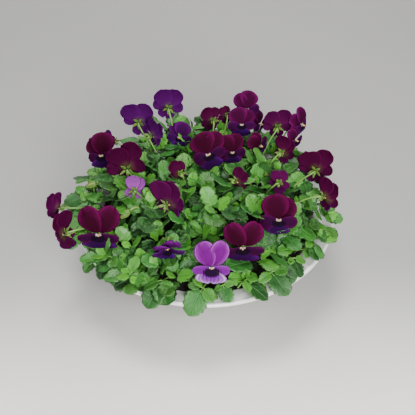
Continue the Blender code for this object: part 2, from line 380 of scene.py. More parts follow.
def soil_points(steps, rings):
    """A lumpy top inside the rim, over a plain plug that follows the bowl's inside."""
    profile = [(0.0, soil_high.z)]
    for ring in range(1, rings + 1):
        profile.append((soil_radius * ring / rings, soil_high.z - (0.0015 if ring == rings else 0.0)))
    profile += [(soil_radius - 0.004, soil_high.z - 0.010), (soil_radius * 0.8, soil_low.z + 0.022),
                (foot_radius - 0.001, soil_low.z), (0.0, soil_low.z)]
    points, faces = turned(profile, steps)
    lumpy = []
    for point in points:
        point = Vector(point)
        if point.z > soil_high.z - 0.001:
            point.z += 0.0022 * noise.noise(point * 90) + 0.001 * noise.noise(point * 300) - 0.0008
        lumpy.append(point)
    return lumpy, faces


def soil_finish():
    soil = Finish("potting_soil_crumbs")
    place = soil.coordinates()
    crumb = soil.grain(place, 420.0, 5.0, 0.7)
    soil.colour(soil.mix((0.004, 0.003, 0.002), (0.026, 0.018, 0.012), crumb.step(0.35, 0.75)))
    soil.roughness(0.8 + 0.2 * crumb)
    soil.relief(crumb, 0.0012)
    return soil.material


def new_tree(name, sockets, output):
    """Geometry nodes with named inputs and one output, ready to fill, and the sockets of the inputs."""
    tree = bpy.data.node_groups.new(name, "GeometryNodeTree")
    tree.is_modifier = True
    for socket, kind in sockets.items():
        tree.interface.new_socket(socket, in_out="INPUT", socket_type=f"NodeSocket{kind}")
    tree.interface.new_socket(output, in_out="OUTPUT", socket_type="NodeSocketGeometry")
    graph = Graph(tree)
    return graph, graph.add("NodeGroupInput").outputs


def end_tree(graph, given, copies, output):
    """Turns the copies into plain faces with the given finish."""
    solid = graph.add("GeometryNodeRealizeInstances", inputs={"Geometry": copies.outputs[0]})
    done = graph.add("GeometryNodeSetMaterial", inputs={
        "Geometry": solid.outputs[0], "Material": given["Finish"]})
    graph.add("NodeGroupOutput", inputs={output: done.outputs[0]})
    return graph.tree


def crumb_tree():
    """Crumbs of one shape on given points, turned and sized at random."""
    graph, given = new_tree("Crumbs", {
        "Ground": "Geometry", "Crumb": "Object", "Smallest": "Float", "Largest": "Float", "Seed": "Int",
        "Finish": "Material"}, "Crumbs")
    spots = graph.add("GeometryNodeMeshToPoints", inputs={"Mesh": given["Ground"]})
    crumb = graph.add("GeometryNodeObjectInfo", inputs={"Object": given["Crumb"]})
    turn = graph.random_value("FLOAT_VECTOR", (0.0, 0.0, 0.0), (6.28, 6.28, 6.28), given["Seed"])
    size = graph.random_value("FLOAT", given["Smallest"], given["Largest"], given["Seed"])
    laid = graph.add("GeometryNodeInstanceOnPoints", inputs={
        "Points": spots.outputs[0], "Instance": crumb.outputs["Geometry"],
        "Rotation": turn, "Scale": size})
    return end_tree(graph, given, laid, "Crumbs")


def grown(name, points, tree, settings, marks=None):
    """Runs a tree on a set of points and returns its result as a plain mesh piece."""
    mesh = bpy.data.meshes.new(name)
    mesh.from_pydata(points, [], [])
    for mark, (kind, values) in (marks or {}).items():
        attribute = mesh.attributes.new(mark, kind, "POINT")
        attribute.data.foreach_set("vector" if kind == "FLOAT_VECTOR" else "value", values)
    seedbed = linked(f"{name}_points", mesh)
    modifier = seedbed.modifiers.new("Grow", "NODES")
    modifier.node_group = tree
    for item in tree.interface.items_tree:
        if item.in_out == "INPUT" and item.name in settings:
            modifier[item.identifier] = settings[item.name]
    bpy.context.view_layer.update()
    evaluated = seedbed.evaluated_get(bpy.context.evaluated_depsgraph_get())
    result = bpy.data.meshes.new_from_object(evaluated)
    result.name = name
    seedbed.modifiers.remove(modifier)
    bpy.data.objects.remove(seedbed, do_unlink=True)
    return linked(name, result)


def crumb_mesh():
    bpy.ops.mesh.primitive_ico_sphere_add(subdivisions=1, radius=1.0)
    crumb = bpy.context.object
    crumb.name = "crumb"
    chance = random.Random(5)
    for point in crumb.data.vertices:
        point.co *= chance.uniform(0.7, 1.2)
    crumb.data.transform(Matrix.Diagonal((1.0, 0.8, 0.6, 1.0)))
    return crumb


soil_shape = Shape()
soil_shape.add(*soil_points(120, 30))
soil = soil_shape.piece("potting_soil_bed", soil_finish())
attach(soil, "root")
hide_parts("potting_soil")

chance = random.Random(11)
crumb_spots = []
for _ in range(crumb_count):
    reach = (soil_radius - 0.003) * math.sqrt(chance.random())
    turn = chance.uniform(0, 2 * math.pi)
    crumb_spots.append((reach * math.cos(turn), reach * math.sin(turn), soil_high.z + 0.0002))
crumb = crumb_mesh()
crumbs = grown("soil_crumbs", crumb_spots, crumb_tree(), {
    "Crumb": crumb, "Smallest": 0.0007, "Largest": 0.0024, "Seed": 3, "Finish": soil_finish()})
bpy.data.objects.remove(crumb, do_unlink=True)
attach(crumbs, "root")


# ---------------- the leaves
# Seven plants, one in the middle and six around it, grow into one low mound. Every shoot carries a
# whorl of stalked, scalloped leaves: broad ones below, and small yellow-green ones still opening.

plants = [f"plant_{number}" for number in range(1, 8)]
plant_boxes = {name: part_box(name) for name in plants}
mound_low = Vector([min(low[axis] for low, high in plant_boxes.values()) for axis in range(3)])
mound_high = Vector([max(high[axis] for low, high in plant_boxes.values()) for axis in range(3)])
mound_middle = (mound_low + mound_high) / 2
mound_radius = (mound_high.x - mound_low.x) / 2
mound_edge = rim_height + 0.003
mound_crown = mound_high.z - mound_edge
shoot_spacing = 0.0210
row_spacing = 0.87 * shoot_spacing
spot_jitter = 0.005
leaf_kinds = 6
leaves_per_shoot = 6
golden_angle = 2.39996
root_reach = rim_radius - 0.8 * rim_band     # no shoot stands further from the bowl's axis


def two_sided(grid, thickness):
    """A thin closed body from rows of points: a front, a back, and one shared sharp edge.

    The first and the last row each run together into one point. Every point is marked with its place
    along (0 to 1) and across (-1 to 1), and with its side."""
    rows, columns = len(grid), len(grid[0])
    points, front, back = [], {}, {}

    def normal(row, column):
        row = min(max(row, 1), rows - 2)
        across = grid[row][min(column + 1, columns - 1)] - grid[row][max(column - 1, 0)]
        along = grid[row + 1][column] - grid[row - 1][column]
        return across.cross(along).normalized()

    for row in range(rows):
        for column in range(columns):
            if row in (0, rows - 1):
                if column == 0:
                    points.append(grid[row][columns // 2])
                front[row, column] = back[row, column] = len(points) - 1
            elif column in (0, columns - 1):
                points.append(grid[row][column])
                front[row, column] = back[row, column] = len(points) - 1
            else:
                lift = normal(row, column) * thickness / 2
                points += [grid[row][column] + lift, grid[row][column] - lift]
                front[row, column] = len(points) - 2
                back[row, column] = len(points) - 1
    faces = []
    for row in range(rows - 1):
        for column in range(columns - 1):
            for side, flip in ((front, 1), (back, -1)):
                corners = [side[row, column], side[row, column + 1],
                           side[row + 1, column + 1], side[row + 1, column]]
                corners = list(dict.fromkeys(corners))
                faces.append(corners[::flip])
    spots = [None] * len(points)
    for side, sign in ((front, 1.0), (back, -1.0)):
        for (row, column), number in side.items():
            edge = row in (0, rows - 1) or column in (0, columns - 1)
            spots[number] = (row / (rows - 1), 2 * column / (columns - 1) - 1, 0.0 if edge else sign)
    return points, faces, spots


def tube(path, radii, sides):
    """A round stalk along a path, closed at both ends."""
    points, faces = [], []
    side = Vector((1, 0, 0))
    for number, (place, radius) in enumerate(zip(path, radii)):
        ahead = path[min(number + 1, len(path) - 1)] - path[max(number - 1, 0)]
        ahead.normalize()
        side = (side - ahead * side.dot(ahead)).normalized()
        other = ahead.cross(side)
        for step in range(sides):
            turn = 2 * math.pi * step / sides
            points.append(place + (side * math.cos(turn) + other * math.sin(turn)) * radius)
    for ring in range(len(path) - 1):
        for step in range(sides):
            beside = (step + 1) % sides
            low, high = ring * sides, (ring + 1) * sides
            faces.append((low + step, low + beside, high + beside, high + step))
    faces.append(tuple(reversed(range(sides))))
    faces.append(tuple(range((len(path) - 1) * sides, len(path) * sides)))
    return points, faces


def leaf_grid(length, width, rows, columns, chance, droop, fold, teeth, fullness):
    """A blade along +Y from its base at the origin, upper side towards +Z."""
    wave = chance.uniform(0, 6.28)
    lean = chance.uniform(-0.06, 0.06)
    grid = []
    for row in range(rows + 1):
        share = (1 - math.cos(math.pi * row / rows)) / 2
        half = width / 2 * math.sqrt(max(0.0, 1 - (2 * share ** fullness - 1) ** 2))
        half *= 0.83 + 0.21 * abs(math.sin(math.pi * (teeth * share + 0.15)))
        line = []
        for column in range(columns + 1):
            across = 2 * column / columns - 1
            height = fold * width * (across * across) ** 0.6 * math.sin(math.pi * min(1, share + 0.1))
            height -= droop * length * share ** 2
            height += 0.035 * length * math.sin(wave + 7 * share + 2 * across) * across ** 2
            line.append(Vector((half * across + lean * length * share ** 2, length * share, height)))
        grid.append(line)
    return grid


def leaf_shape(length, width, rows, columns, chance, stalk, **form):
    """A blade with its stalk, marked with its place along and across for the veins."""
    shape = Shape()
    points, faces, spots = two_sided(leaf_grid(length, width, rows, columns, chance, **form), 0.0005)
    shape.add(points, faces, blade=spots)
    reach = length * stalk
    path = [Vector((0, 0.10 * length, 0.0004)), Vector((0, -0.15 * reach, -0.05 * reach)),
            Vector((0, -0.55 * reach, -0.35 * reach)), Vector((0, -0.75 * reach, -0.85 * reach))]
    points, faces = tube(path[::-1], (0.0008, 0.0007, 0.0006, 0.0004), 5)
    shape.add(points, faces, blade=[(0.0, 0.0, 2.0)] * len(points))
    return shape


def leaf_finish(name, deep, fresh, bright):
    """Waxy green, paler along the ribs and the edge, duller beneath, lighter where newly opened."""
    leaf = Finish(name, Specular_IOR_Level=0.48)
    place = leaf.coordinates()
    along, across, side = leaf.marks("blade")
    tone, youth, fleck = leaf.marks("growth")
    off_middle = across.math("ABSOLUTE")
    cloud = leaf.grain(place, 150.0, 3.0)
    rib = 1 - off_middle.step(0.02, 0.11)
    branch = ((along * 7.0 - off_middle * 2.4) * 6.2832).math("COSINE").step(0.78, 1.0)
    veins = (rib + branch * 0.45).math("MINIMUM", 1.0) * side.step(-0.2, 0.2)
    margin = (off_middle ** 6 + along ** 14).math("MINIMUM", 1.0)
    ripeness = (tone * 1.15 + cloud * 0.9 - 0.58).math("MINIMUM", 1.0).math("MAXIMUM", 0.0)
    body = leaf.mix(deep, fresh, ripeness)
    young = leaf.mix(body, bright, youth.math("MINIMUM", 0.9))
    ribbed = leaf.mix(young, (0.16, 0.38, 0.10), veins * 0.15)
    edged = leaf.mix(ribbed, (0.17, 0.40, 0.11), margin * 0.4)
    beneath = leaf.mix(edged, (0.09, 0.24, 0.07), (side * -1).step(0.1, 0.6) * 0.6)
    stalk = side.step(1.2, 1.8)
    leaf.colour(leaf.mix(beneath, (0.14, 0.34, 0.05), stalk))
    leaf.roughness(0.30 + 0.20 * cloud + fleck * 0.12)
    leaf.relief(cloud * 0.5 - veins * 0.8 + leaf.grain(place, 700.0, 1.0) * 0.25, 0.0008)
    return leaf.material


def shoot_tree():
    """On each point a whorl of leaves, each one golden angle on from the last."""
    graph, given = new_tree("Shoots", {
        "Shoots": "Geometry", "Leaves": "Collection", "Leaves per shoot": "Int", "Smallest": "Float",
        "Largest": "Float", "Reach": "Float", "Rise": "Float", "Seed": "Int",
        "Finish": "Material"}, "Leaves")
    tree = graph.tree

    def chance_of(low, high, offset):
        return Value(tree, graph.random_value("FLOAT", low, high, Value(tree, given["Seed"]) + offset))

    def attribute(name, kind):
        node = graph.add("GeometryNodeInputNamedAttribute", {"data_type": kind}, {"Name": name})
        return node.outputs[0]

    def vector_math(operation, inputs):
        return graph.add("ShaderNodeVectorMath", {"operation": operation}, inputs).outputs[0]

    def turned_by(rotation, axis, angle):
        spin = graph.add("FunctionNodeAxisAngleToRotation", inputs={"Axis": axis, "Angle": angle})
        return graph.add("FunctionNodeRotateRotation", {"rotation_space": "LOCAL"}, {
            "Rotation": rotation, "Rotate By": spin.outputs[0]}).outputs[0]

    spots = graph.add("GeometryNodeMeshToPoints", inputs={"Mesh": given["Shoots"]})
    copies = graph.add("GeometryNodeDuplicateElements", {"domain": "POINT"}, {
        "Geometry": spots.outputs[0], "Amount": given["Leaves per shoot"]})
    number = Value(tree, copies.outputs["Duplicate Index"])
    age = (number + 0.4) / Value(tree, given["Leaves per shoot"])
    phase = Value(tree, attribute("phase", "FLOAT"))
    vigour = Value(tree, attribute("vigour", "FLOAT"))
    upright = graph.add("FunctionNodeAlignRotationToVector", {"axis": "Z"}, {
        "Vector": attribute("lean", "FLOAT_VECTOR")})
    round_shoot = number * golden_angle + phase + chance_of(-0.3, 0.3, 1)
    rotation = turned_by(upright.outputs[0], (0, 0, 1), round_shoot)
    lift = 1.05 - age * 0.95 + chance_of(-0.3, 0.3, 2)
    rotation = turned_by(rotation, (1, 0, 0), lift)
    rotation = turned_by(rotation, (0, 1, 0), chance_of(-0.35, 0.35, 3))
    out = graph.add("FunctionNodeRotateVector", inputs={"Vector": (0, 1, 0), "Rotation": rotation})
    reach = age * Value(tree, given["Reach"]) * vigour * chance_of(0.7, 1.2, 4)
    rise = (1 - age) * Value(tree, given["Rise"]) * vigour * chance_of(0.7, 1.3, 5)
    outward = vector_math("SCALE", {0: out.outputs[0], "Scale": reach})
    upward = vector_math("SCALE", {0: attribute("lean", "FLOAT_VECTOR"), "Scale": rise})
    shift = vector_math("ADD", {0: outward, 1: upward})
    placed = graph.add("GeometryNodeSetPosition", inputs={
        "Geometry": copies.outputs["Geometry"], "Offset": shift})
    grown_to = (age ** 0.7).math("MINIMUM", 1.0)
    span = Value(tree, given["Largest"]) - Value(tree, given["Smallest"])
    size = (Value(tree, given["Smallest"]) + span * grown_to) * vigour * chance_of(0.82, 1.15, 6)
    opening = (1 - age * 1.7 + chance_of(-0.2, 0.2, 8)).math("MAXIMUM", 0.0)
    growth = graph.add("ShaderNodeCombineXYZ", inputs={
        "X": chance_of(0.0, 1.0, 7),
        "Y": opening + Value(tree, attribute("fresh", "FLOAT")),
        "Z": chance_of(0.0, 1.0, 9)})
    marked = graph.add("GeometryNodeStoreNamedAttribute", {
        "data_type": "FLOAT_VECTOR", "domain": "POINT"}, {
        "Geometry": placed.outputs[0], "Name": "growth", "Value": growth.outputs[0]})
    kinds = graph.add("GeometryNodeCollectionInfo", inputs={
        "Collection": given["Leaves"], "Separate Children": True, "Reset Children": True})
    pick = graph.random_value("INT", 0, leaf_kinds - 1, given["Seed"])
    leaves = graph.add("GeometryNodeInstanceOnPoints", inputs={
        "Points": marked.outputs[0], "Instance": kinds.outputs[0], "Pick Instance": True,
        "Instance Index": pick, "Rotation": rotation, "Scale": size})
    return end_tree(graph, given, leaves, "Leaves")


def mound_height(x, y):
    share = min(1.0, math.hypot(x - mound_middle.x, y - mound_middle.y) / mound_radius)
    return mound_edge + mound_crown * (1 - share ** 4)


def start_shoot(spot, lean, vigour, phase, freshness):
    """Adds a shoot to the plant whose middle is nearest."""
    nearest = min(plants, key=lambda name: (sum(plant_boxes[name], Vector()) / 2 - spot).xy.length)
    shoots[nearest].append((spot, lean.normalized(), vigour, phase, freshness))


shoots = {name: [] for name in plants}
leaf_green = leaf_finish("leaf_green", (0.003, 0.025, 0.003), (0.034, 0.200, 0.025),
                         (0.11, 0.41, 0.026))
leaf_patterns = bpy.data.collections.new("leaf_patterns")
bpy.context.scene.collection.children.link(leaf_patterns)
chance = random.Random(21)
for number in range(leaf_kinds):
    pattern = leaf_shape(1.0, chance.uniform(0.78, 0.98), 21, 6, chance, stalk=chance.uniform(0.8, 1.1),
                         droop=chance.uniform(0.04, 0.20), fold=chance.uniform(-0.02, 0.11),
                         fullness=chance.uniform(0.74, 0.92), teeth=chance.choice((4, 5)))
    one = bpy.data.objects.new(f"leaf_pattern_{number}", pattern.mesh(f"leaf_pattern_{number}", ()))
    leaf_patterns.objects.link(one)

rows = int(mound_radius / shoot_spacing) + 2
for row in range(-rows, rows + 1):
    for column in range(-rows, rows + 1):
        x = (column + 0.5 * (row % 2)) * shoot_spacing + chance.uniform(-spot_jitter, spot_jitter)
        y = row * row_spacing + chance.uniform(-spot_jitter, spot_jitter)
        reach = math.hypot(x, y)
        spot = Vector((x + mound_middle.x, y + mound_middle.y, 0.0))
        if reach < mound_radius * chance.uniform(0.92, 1.05) and spot.length < root_reach:
            spot.z = mound_height(spot.x, spot.y) - 0.004 - 0.015 * chance.random()
            spot.z = max(spot.z, rim_height + 0.002)
            lean = Vector((x, y, 0)) / mound_radius * 0.45 * (reach / mound_radius) + Vector((0, 0, 1))
            lean += Vector((chance.uniform(-0.3, 0.3), chance.uniform(-0.3, 0.3), 0))
            young = chance.random() < 0.3
            vigour = chance.uniform(0.55, 0.75) if young else chance.uniform(0.85, 1.15)
            start_shoot(spot, lean, vigour, chance.uniform(0, 6.28), 0.55 * young)

# Side shoots lean out over the rim on the left and the right, and stand further in from the left
# round to the back: each one's bearing (degrees), and its least distance in, in widths of the rim band
side_bearings = [(bearing, 0.5) for bearing in (*range(184, 242, 7), 334, 343, 351)]
side_bearings += [(bearing, 0.95) for bearing in (86, 93, 100, *range(124, 180, 7))]
for bearing, inset in side_bearings:
    turn = math.radians(bearing + chance.uniform(-3, 3))
    outward = Vector((math.cos(turn), math.sin(turn), 0))
    spot = outward * (rim_radius - rim_band * (inset + chance.uniform(0.0, 0.4)))
    spot.z = rim_height + chance.uniform(0.002, 0.007)
    vigour = chance.uniform(0.62, 0.85)
    start_shoot(spot, outward * 0.6 + Vector((0, 0, 1)), vigour, chance.uniform(0, 6.28), 0.15)

shoot_nodes = shoot_tree()
for number, name in enumerate(plants):
    spots, leans, vigours, phases, freshness = zip(*shoots[name])
    foliage = grown(f"{name}_leaves", spots, shoot_nodes, {
        "Leaves": leaf_patterns, "Leaves per shoot": leaves_per_shoot, "Smallest": 0.010,
        "Largest": 0.0265, "Reach": 0.014, "Rise": 0.012, "Seed": 100 + 20 * number,
        "Finish": leaf_green}, {
        "lean": ("FLOAT_VECTOR", [value for lean in leans for value in lean]),
        "vigour": ("FLOAT", vigours), "phase": ("FLOAT", phases), "fresh": ("FLOAT", freshness)})
    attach(foliage, "root")
    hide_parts(name)
for pattern in list(leaf_patterns.objects):
    bpy.data.objects.remove(pattern, do_unlink=True)


# ---------------- the leaves over the rim
# The outermost leaves lie out across the rim on their own stalks and hang a little past the lip, each
# with a smaller leaf at either side of its base.

rim_leaf_length = 0.0235

# In order round the rim: each leaf's turn away from straight out and its lean to one side (degrees),
# and its share of the usual length
rim_leaf_turns = [
    (-35, 12, 1.0), (25, -14, 1.0), (18, 16, 0.95), (-38, -12, 1.0), (-6, 8, 1.1), (-26, -12, 1.1),
    (12, 18, 0.65), (34, -14, 1.05), (4, 10, 1.0), (-22, -16, 0.75), (28, 12, 0.75), (-34, -10, 0.7),
]


def spin(degrees, axis="Z"):
    return Matrix.Rotation(math.radians(degrees), 4, axis)


chance = random.Random(8)
for number, (swing, lean, size) in enumerate(rim_leaf_turns, 1):
    name = f"rim_leaf_{number:02d}"
    low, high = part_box(name)
    middle = (low + high) / 2
    outward = Vector((middle.x, middle.y, 0)).normalized()
    outward.rotate(Euler((0, 0, math.radians(swing))))
    across = Vector((outward.y, -outward.x, 0))
    length = rim_leaf_length * size
    blade = (outward * length + Vector((0, 0, (low.z - high.z) * 0.8))).normalized()
    place = Matrix((across, blade, across.cross(blade))).transposed().to_4x4()
    place = place @ spin(lean, "Y")
    base = middle - blade * length * 0.5 + Vector((0, 0, 0.001))
    sprig = Shape()
    for share, turn in ((1.0, 0.0), (chance.uniform(0.5, 0.7), chance.uniform(50, 80)),
                        (chance.uniform(0.4, 0.6), -chance.uniform(45, 80))):
        one = leaf_shape(length * share, length * share * chance.uniform(0.80, 0.92), 30, 12, chance,
                         stalk=0.7, droop=chance.uniform(0.04, 0.14),
                         fold=chance.uniform(0.02, 0.08), teeth=5, fullness=chance.uniform(0.78, 0.9))
        step_aside = spin(turn) @ Matrix.Translation((0, 0.1 * length, 0))
        lifted = Matrix.Translation((0, 0, 0.002 if turn else 0.0)) @ step_aside
        tone, youth = chance.uniform(0.1, 0.75), 0.0 if share == 1.0 else chance.uniform(0.1, 0.5)
        sprig.add([lifted @ point for point in one.points], one.faces,
                  blade=one.marks["blade"].values(), growth=[(tone, youth, 0.5)] * len(one.points))
    leaf = sprig.piece(f"{name}_blade", leaf_green)
    leaf.data.transform(Matrix.Translation(base) @ place)
    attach(leaf, "root")
    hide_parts(name)


# ---------------- the blooms
# Each flower is five velvet petals round a small eye: two broad ones above, one at each side and a
# lip below, with five pointed sepals and a spur behind. Its stem rises from the soil and hooks over.

# Compass direction, upward tilt and roll of the face (degrees), width (mm), petal colour, and form
bloom_faces = [
    (95, -18, 10, 30, "violet", "behind"),
    (82, -22, -8, 31, "violet", "behind"),
    (35, -30, 0, 26, "violet", "behind"),
    (272, 28, -5, 24, "violet", "right"),
    (110, -35, 0, 22, "burgundy", "nodding"),
    (272, 28, 0, 27, "plum", "left"),
    (278, 20, 0, 27, "plum", "right"),
    (110, -40, 0, 16, "burgundy", "half"),
    (92, -20, 0, 27, "plum", "behind"),
    (325, 10, 0, 26, "plum", "right"),
    (310, 10, 0, 19, "plum", "open"),
    (60, -35, 0, 24, "burgundy", "nodding"),
    (75, -16, 0, 33, "burgundy", "behind"),
    (35, -35, 0, 28, "burgundy", "nodding"),
    (80, -40, 0, 20, "plum", "half"),
    (268, 28, 0, 35, "burgundy", "left"),
    (267, 4, 0, 37, "burgundy", "vee"),
    (270, 28, 0, 33, "lilac", "vee"),
    (270, -24, 0, 29, "violet", "half"),
    (264, 9, 0, 39, "burgundy", "vee"),
    (170, -35, 30, 31, "burgundy", "open"),
    (150, -20, 0, 24, "plum", "nodding"),
    (262, 26, 12, 32, "burgundy", "right"),
    (150, -20, 0, 20, "violet", "half"),
    (88, -18, -8, 37, "burgundy", "behind"),
    (85, -40, 0, 22, "lilac", "nodding"),
    (50, -25, -20, 33, "plum", "behind"),
    (120, -40, 0, 19, "burgundy", "nodding"),
    (45, -45, 0, 19, "burgundy", "nodding"),
    (264, 28, 22, 34, "burgundy", "left"),
    (276, 26, 0, 27, "burgundy", "open"),
    (310, 15, 35, 21, "burgundy", "left"),
    (330, 10, 0, 23, "plum", "right"),
]

# Five petals to a form: two above, two at the sides and the lip. Each has its direction from straight
# up (degrees), length and breadth (shares of the face's width), forward tilt (degrees) and lift off
# the face (mm)
petal_plans = {
    "open": ((26, 0.66, 0.64, -12, -1.6), (-26, 0.66, 0.64, -9, -0.8),
             (100, 0.48, 0.38, -2, 0.2), (-100, 0.48, 0.38, -2, 0.4), (180, 0.45, 0.70, -8, 1.1)),
    "left": ((38, 0.64, 0.56, -12, -1.8), (-15, 0.67, 0.76, -8, -0.6),
             (98, 0.47, 0.36, -2, 0.2), (-104, 0.48, 0.40, -2, 0.4), (180, 0.45, 0.70, -8, 1.1)),
    "vee": ((29, 0.70, 0.58, -6, -1.6), (-29, 0.70, 0.58, -4, -0.8),
            (108, 0.50, 0.28, 6, 0.2), (-108, 0.50, 0.28, 6, 0.4), (180, 0.43, 0.92, 2, 1.1)),
    "behind": ((26, 0.72, 0.66, -6, -1.6), (-26, 0.70, 0.62, 4, -0.8),
               (84, 0.50, 0.40, 8, 0.2), (-88, 0.50, 0.40, 4, 0.4), (180, 0.44, 0.56, 26, 1.1)),
    "half": ((24, 0.62, 0.56, 20, -1.6), (-24, 0.62, 0.56, 25, -0.8),
             (100, 0.50, 0.40, 32, 0.2), (-100, 0.50, 0.40, 32, 0.4), (180, 0.50, 0.56, 36, 1.1)),
    "nodding": ((20, 0.68, 0.70, 2, -1.6), (-28, 0.62, 0.56, 8, -0.8),
                (100, 0.48, 0.36, 34, 0.2), (-100, 0.48, 0.36, 38, 0.4), (180, 0.46, 0.54, 42, 1.1)),
}
# The right form is the left one in a mirror
first, second, third, fourth, lip = petal_plans["left"]
petal_plans["right"] = (*((-turn, *rest) for turn, *rest in (second, first, fourth, third)), lip)

petal_kinds = (0.0, 0.0, 0.5, 0.5, 1.0)      # 0 above, 0.5 beside, 1 lip
petal_steps = (16, 12)                       # along and across

# How far the throat sits below the middle of the head, as a share of the width
usual_throat_drop = 0.10
throat_drops = {"behind": 0.16}

# The head's outline, for fitting it into its node's box
lobe_depth = 0.14
face_taller = 1.15
outline_steps = 25

stem_radii = [0.0010 - 0.00002 * step for step in range(17)]
foot_limit = 0.085        # no stem starts further than this from the mound's middle
across_strip = (-1, -0.5, 0, 0.5, 1)


def petal_grid(length, breadth, kind, chance):
    """One petal along +Y from its narrow claw, its face towards +Z."""
    rows, columns = petal_steps
    wave, ripple = chance.uniform(0, 6.28), chance.uniform(0.7, 1.3)
    notch = 0.10 if kind == 1.0 else 0.0
    grid = []
    for row in range(rows + 1):
        share = (1 - math.cos(math.pi * row / rows)) / 2
        half = breadth / 2 * math.sqrt(max(0.0, 1 - (2 * share ** (1.3 + 0.4 * kind) - 1) ** 2))
        line = []
        for column in range(columns + 1):
            across = 2 * column / columns - 1
            reach = length * share * (1 - notch * math.exp(-(across * 3) ** 2) * share ** 4)
            rim = max(share ** 4, across ** 4 * math.sin(math.pi * min(1.0, share + 0.15)))
            height = 0.10 * length * math.sin(math.pi * share) - 0.14 * length * share ** 3
            height -= 0.10 * breadth * across ** 2 * share
            height += 0.045 * length * ripple * rim * math.sin(wave + 5.5 * across + 6 * share)
            line.append(Vector((half * across, reach, height)))
        grid.append(line)
    return grid


def bloom_shape(width, form, chance):
    """A whole flower in its own frame: +Z out of the face, +Y to the upper petals."""
    shape = Shape()
    for (bearing, length, breadth, tilt, lift), kind in zip(petal_plans[form], petal_kinds):
        grid = petal_grid(width * length * chance.uniform(0.93, 1.06),
                          width * breadth * chance.uniform(0.93, 1.07), kind, chance)
        points, faces, spots = two_sided(grid, 0.0006)
        turn = spin(-bearing + chance.uniform(-7, 7))
        tip = spin(tilt + chance.uniform(-8, 8), "X")
        place = Matrix.Translation((0, 0, lift / 1000)) @ turn @ tip @ Matrix.Translation((0, 0.0008, 0))
        points = [place @ point for point in points]
        face = [(point.x / width, point.y / width, kind) for point in points]
        shape.add(points, faces, 0, petal=spots, face=face)
    throat = [Vector((0, -0.0004, 0.0034 - 0.0012 * step)) for step in range(4)]
    points, faces = tube(throat[::-1], (0.0005, 0.0008, 0.0009, 0.0006), 8)
    shape.add(points, faces, 2)
    for number in range(5):
        bearing = 72 * number + 36 + chance.uniform(-8, 8)
        grid = []
        for row in range(7):
            share = row / 6
            half = 0.0014 * math.sin(math.pi * min(1.0, 0.12 + share * 0.9)) if 0 < row < 6 else 0.0
            height = -0.0042 - 0.0070 * share ** 1.5 * (0.5 + 0.5 * (number % 2))
            grid.append([Vector((half * side, 0.0008 + 0.18 * width * share, height - 0.0004 * side * side))
                         for side in across_strip])
        points, faces, spots = two_sided(grid, 0.0005)
        turn = spin(bearing)
        shape.add([turn @ point for point in points], faces, 1,
                  blade=[(along, across, 1.0) for along, across, _ in spots])
    spur = [Vector((0, -0.001, -0.002)), Vector((0, -0.0022, -0.005)), Vector((0, -0.0028, -0.0078))]
    points, faces = tube(spur, (0.0011, 0.0012, 0.0006), 8)
    shape.add(points, faces, 1, blade=[(0.5, 0.0, 1.0)] * len(points))
    return shape


def petal_finish(name, upper, upper_sheen_colour, lip, lip_sheen_colour, back, blotch, rays, veining=0.08):
    """Velvet petals whose rims are lighter with painted sheen: a near-black blotch and pale whiskers round
    a small eye.
    """
    velvet = Finish(name, Sheen_Weight=0.04, Sheen_Roughness=0.4, Specular_IOR_Level=0.05)
    tint = [part / max(upper_sheen_colour) for part in upper_sheen_colour]
    velvet.shader.inputs["Sheen Tint"].default_value = (*tint, 1.0)
    place = velvet.coordinates()
    along, across, side = velvet.marks("petal")
    x, y, kind = velvet.marks("face")
    distance = (x * x + y * y) ** 0.5
    nap = velvet.grain(place, 210.0, 3.0)
    off_middle = across.math("ABSOLUTE")
    rim = (along ** 4 + off_middle ** 3).math("MINIMUM", 1.0)
    # Painted sheen: the rims of the petals are coloured lighter and pinker, standing in for the velvet's
    # sheen
    painted_sheen = (rim * 0.85 + nap * 0.4 - 0.2).step(0.0, 1.0)
    fibre = ((across * 26.0 + nap * 2.0).math("SINE") * 0.5 + 0.5) * along.step(0.05, 0.5)
    lower = kind.step(0.2, 0.4)
    on_lip = kind.step(0.6, 0.9)
    beside = velvet.mix(velvet.mix(upper, upper_sheen_colour, painted_sheen), lip, (lower - on_lip) * 0.45)
    body = velvet.mix(beside, velvet.mix(lip, lip_sheen_colour, painted_sheen), on_lip)
    streaked = velvet.mix(body, upper, fibre * veining)
    down = (y + blotch * 0.55) / (blotch * 0.62)
    wide = x / (blotch * 1.15)
    spread = (down * down + wide * wide) ** 0.5 + (x * 95.0).math("SINE") * 0.10
    dark = (1 - spread.step(0.75, 1.1)) * lower
    marked = velvet.mix(streaked, (0.004, 0.001, 0.006), dark * 0.95)
    whisker = (1 - distance.step(0.03, 0.085)) * (lower - on_lip) * (side + 0.5).step(0.0, 0.5)
    whiskered = velvet.mix(marked, rays, whisker * 0.85)
    yolk = (1 - distance.step(0.02, 0.055)) * on_lip
    eyed = velvet.mix(whiskered, (0.85, 0.50, 0.20), yolk)
    claw = (1 - distance.step(0.05, 0.26)) * (0.55 + 0.45 * fibre)
    reverse = velvet.mix(back, (0.075, 0.085, 0.018), claw * 0.75)
    velvet.colour(velvet.mix(eyed, reverse, (side * -1).step(0.1, 0.6) * 0.9))
    velvet.roughness(0.7 + 0.2 * nap)
    velvet.relief(nap * 0.5 + fibre * 0.3, 0.00035)
    return velvet.material


def root_of(head, share, height):
    """Where a stem leaves the soil: this share of the way out from the mound's middle to the head."""
    away = (head - mound_middle).xy.to_3d()
    foot = mound_middle.xy.to_3d() + away.normalized() * min(away.length * share, foot_limit)
    foot.z = height
    return foot


